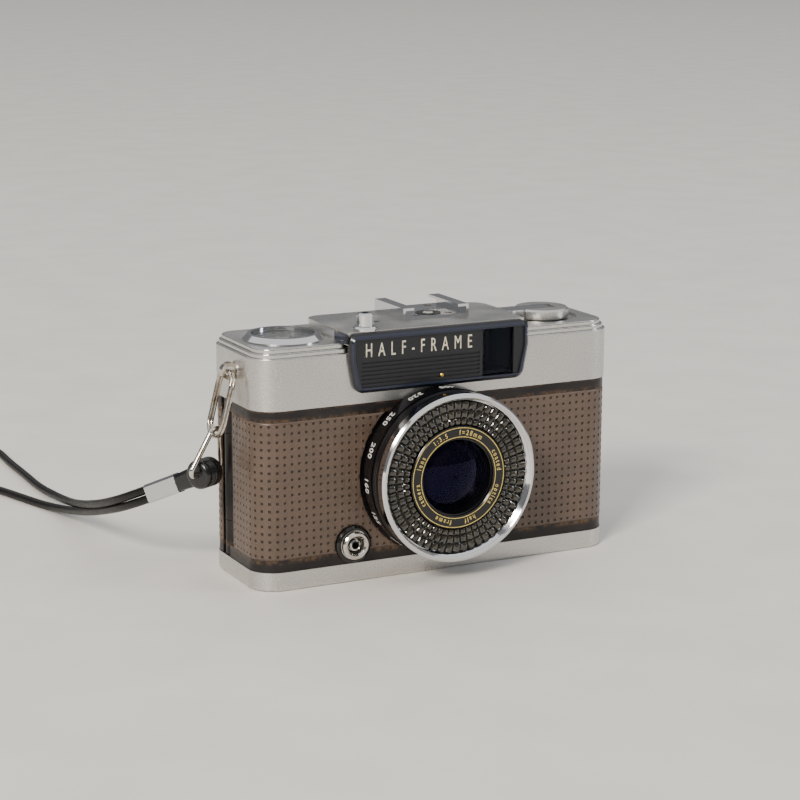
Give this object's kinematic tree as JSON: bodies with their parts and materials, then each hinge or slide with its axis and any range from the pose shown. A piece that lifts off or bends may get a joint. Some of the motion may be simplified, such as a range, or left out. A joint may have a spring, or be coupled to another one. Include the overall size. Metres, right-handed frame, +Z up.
{
  "type": "half frame camera",
  "caption": "Compact viewfinder film camera with a ringed lens and light-meter window, hinged back, thumb wheel, folding rewind crank, accessory shoe and a wrist cord hanging from a strap lug.",
  "frame": {"origin": "mouth of the tripod socket, at the middle of the flat underside", "axes": "+X along the body's length to the rewind side, +Y from the lens to the back, +Z up"},
  "size_m": [0.1682, 0.2241, 0.0733],
  "materials": {
    "satin_chrome": "satin",
    "polished_chrome": "polished",
    "black_paint": "satin",
    "black_ring": "satin",
    "black_inside": "matte",
    "blue_black": "gloss",
    "leatherette": "matte",
    "steel": "bright",
    "brass": "bright",
    "glass": "polished",
    "cell": "gloss",
    "spool_plastic": "gloss",
    "cord": "woven",
    "loop_rubber": "gloss"
  },
  "bodies": {
    "body": {"base_plate": "satin_chrome", "tripod_bush": "steel", "base_screws": "steel", "body_casting": "black_paint", "top_cover": "satin_chrome", "front_bezel": "blue_black", "index_dot": "brass", "viewfinder_window": "glass", "viewfinder_block": "black_inside", "eyepiece_frame": "black_paint", "eyepiece_lens": "glass", "accessory_shoe": "polished_chrome", "shoe_screws": "steel", "shoe_insulator": "black_inside", "shoe_contact": "steel", "counter_ring": "polished_chrome", "counter_window": "glass", "button_collar": "polished_chrome", "button_spring": "steel", "strap_lug_left": "steel", "strap_lug_right": "steel", "leatherette_left": "leatherette", "leatherette_right": "leatherette", "sync_collar": "polished_chrome", "sync_pin": "brass", "shutter_housing": "black_ring", "filter_rim": "polished_chrome", "cell_window": "glass", "selenium_cell": "cell", "lens_barrel": "black_ring", "name_ring": "black_ring", "front_lens": "glass", "rear_lens": "glass", "shutter_plate": "black_inside", "film_gate": "black_inside", "hinge_pin": "steel"},
    "wheel": {"advance_wheel": "spool_plastic"},
    "sprocket": {"sprocket_shaft": "spool_plastic"},
    "spool": {"takeup_spool": "spool_plastic"},
    "dial": {"counter_dial": "satin_chrome"},
    "button": {"shutter_button": "polished_chrome"},
    "release": {"rewind_release": "steel"},
    "knob": {"rewind_knob": "satin_chrome"},
    "crank": {"rewind_crank": "polished_chrome"},
    "speed": {"speed_ring": "black_ring"},
    "aperture": {"aperture_ring": "black_ring"},
    "blade_a": {"shutter_blade_a": "black_inside"},
    "blade_b": {"shutter_blade_b": "black_inside"},
    "leaf_a": {"diaphragm_blade_a": "black_inside"},
    "leaf_b": {"diaphragm_blade_b": "black_inside"},
    "door": {"back_door": "black_paint", "back_leatherette": "leatherette", "pressure_spring": "steel"},
    "plate": {"pressure_plate": "black_inside"},
    "latch": {"door_latch": "steel"},
    "link": {"strap_link": "steel"},
    "ring": {"strap_ring": "steel", "strap_end_loop": "loop_rubber", "strap_crimp": "polished_chrome", "strap_cord": "cord"}
  },
  "joints": [
    {"name": "wheel_turn", "type": "hinge", "parent": "body", "child": "wheel", "pos_m": [-0.0389, 0.0062, 0.0518], "axis": [0, 0, 1], "continuous": true},
    {"name": "sprocket_turn", "type": "hinge", "parent": "body", "child": "sprocket", "pos_m": [-0.0233, 0.0043, 0.028], "axis": [0, 0, 1], "continuous": true},
    {"name": "spool_turn", "type": "hinge", "parent": "body", "child": "spool", "pos_m": [-0.0407, -0.0008, 0.028], "axis": [0, 0, 1], "continuous": true},
    {"name": "dial_turn", "type": "hinge", "parent": "body", "child": "dial", "pos_m": [-0.0407, -0.0008, 0.065], "axis": [0, 0, 1], "continuous": true},
    {"name": "button_press", "type": "slide", "parent": "body", "child": "button", "axis": [0, 0, -1], "range_m": [0, 0.0009], "stiffness_N_per_m": 400, "springref_m": -0.004, "deforming": ["button_spring"]},
    {"name": "release_press", "type": "slide", "parent": "body", "child": "release", "axis": [0, 0, 1], "range_m": [0, 0.0012], "stiffness_N_per_m": 300, "springref_m": -0.003},
    {"name": "knob_turn", "type": "hinge", "parent": "body", "child": "knob", "pos_m": [0.0391, -0.0008, 0.06], "axis": [0, 0, 1], "continuous": true},
    {"name": "crank_fold", "type": "hinge", "parent": "knob", "child": "crank", "pos_m": [0.0413, -0.0008, 0.06765], "axis": [0, 1, 0], "range_deg": [0, 115]},
    {"name": "speed_turn", "type": "hinge", "parent": "body", "child": "speed", "pos_m": [-0.00095, -0.018, 0.0289], "axis": [0, -1, 0], "range_deg": [-60, 60]},
    {"name": "aperture_turn", "type": "hinge", "parent": "body", "child": "aperture", "pos_m": [-0.00095, -0.022, 0.0289], "axis": [0, -1, 0], "range_deg": [-60, 60]},
    {"name": "blade_a_turn", "type": "hinge", "parent": "body", "child": "blade_a", "pos_m": [0.01005, -0.011, 0.0289], "axis": [0, -1, 0], "range_deg": [0, 38]},
    {"name": "blade_b_turn", "type": "hinge", "parent": "body", "child": "blade_b", "pos_m": [-0.01195, -0.011, 0.0289], "axis": [0, -1, 0], "range_deg": [0, 38]},
    {"name": "leaf_a_turn", "type": "hinge", "parent": "body", "child": "leaf_a", "pos_m": [0.01005, -0.01, 0.0289], "axis": [0, -1, 0], "range_deg": [-38, 38]},
    {"name": "leaf_b_turn", "type": "hinge", "parent": "body", "child": "leaf_b", "pos_m": [-0.01195, -0.01, 0.0289], "axis": [0, -1, 0], "range_deg": [-38, 38]},
    {"name": "door_turn", "type": "hinge", "parent": "body", "child": "door", "pos_m": [-0.0523, 0.0074, 0.027], "axis": [0, 0, 1], "range_deg": [0, 90]},
    {"name": "plate_press", "type": "slide", "parent": "door", "child": "plate", "axis": [0, 1, 0], "range_m": [0, 0.0008], "stiffness_N_per_m": 500, "springref_m": -0.001},
    {"name": "latch_slide", "type": "slide", "parent": "door", "child": "latch", "axis": [0, 0, 1], "range_m": [0, 0.003], "stiffness_N_per_m": 80, "springref_m": -0.004},
    {"name": "link_swing", "type": "hinge", "parent": "body", "child": "link", "pos_m": [-0.0563, -0.0005, 0.0583], "axis": [0, 1, 0], "range_deg": [0, 45]},
    {"name": "ring_swing", "type": "hinge", "parent": "link", "child": "ring", "pos_m": [-0.06075, -0.0005, 0.04086], "axis": [0, 1, 0], "range_deg": [0, 30]}
  ],
  "couplings": [
    {"joint": "sprocket_turn", "follows": "wheel_turn", "ratio": -4.38},
    {"joint": "spool_turn", "follows": "wheel_turn", "ratio": -4.38},
    {"joint": "dial_turn", "follows": "wheel_turn", "ratio": -0.0608},
    {"joint": "blade_b_turn", "follows": "blade_a_turn", "ratio": 1},
    {"joint": "leaf_a_turn", "follows": "aperture_turn", "ratio": 0.6},
    {"joint": "leaf_b_turn", "follows": "aperture_turn", "ratio": 0.6}
  ]
}
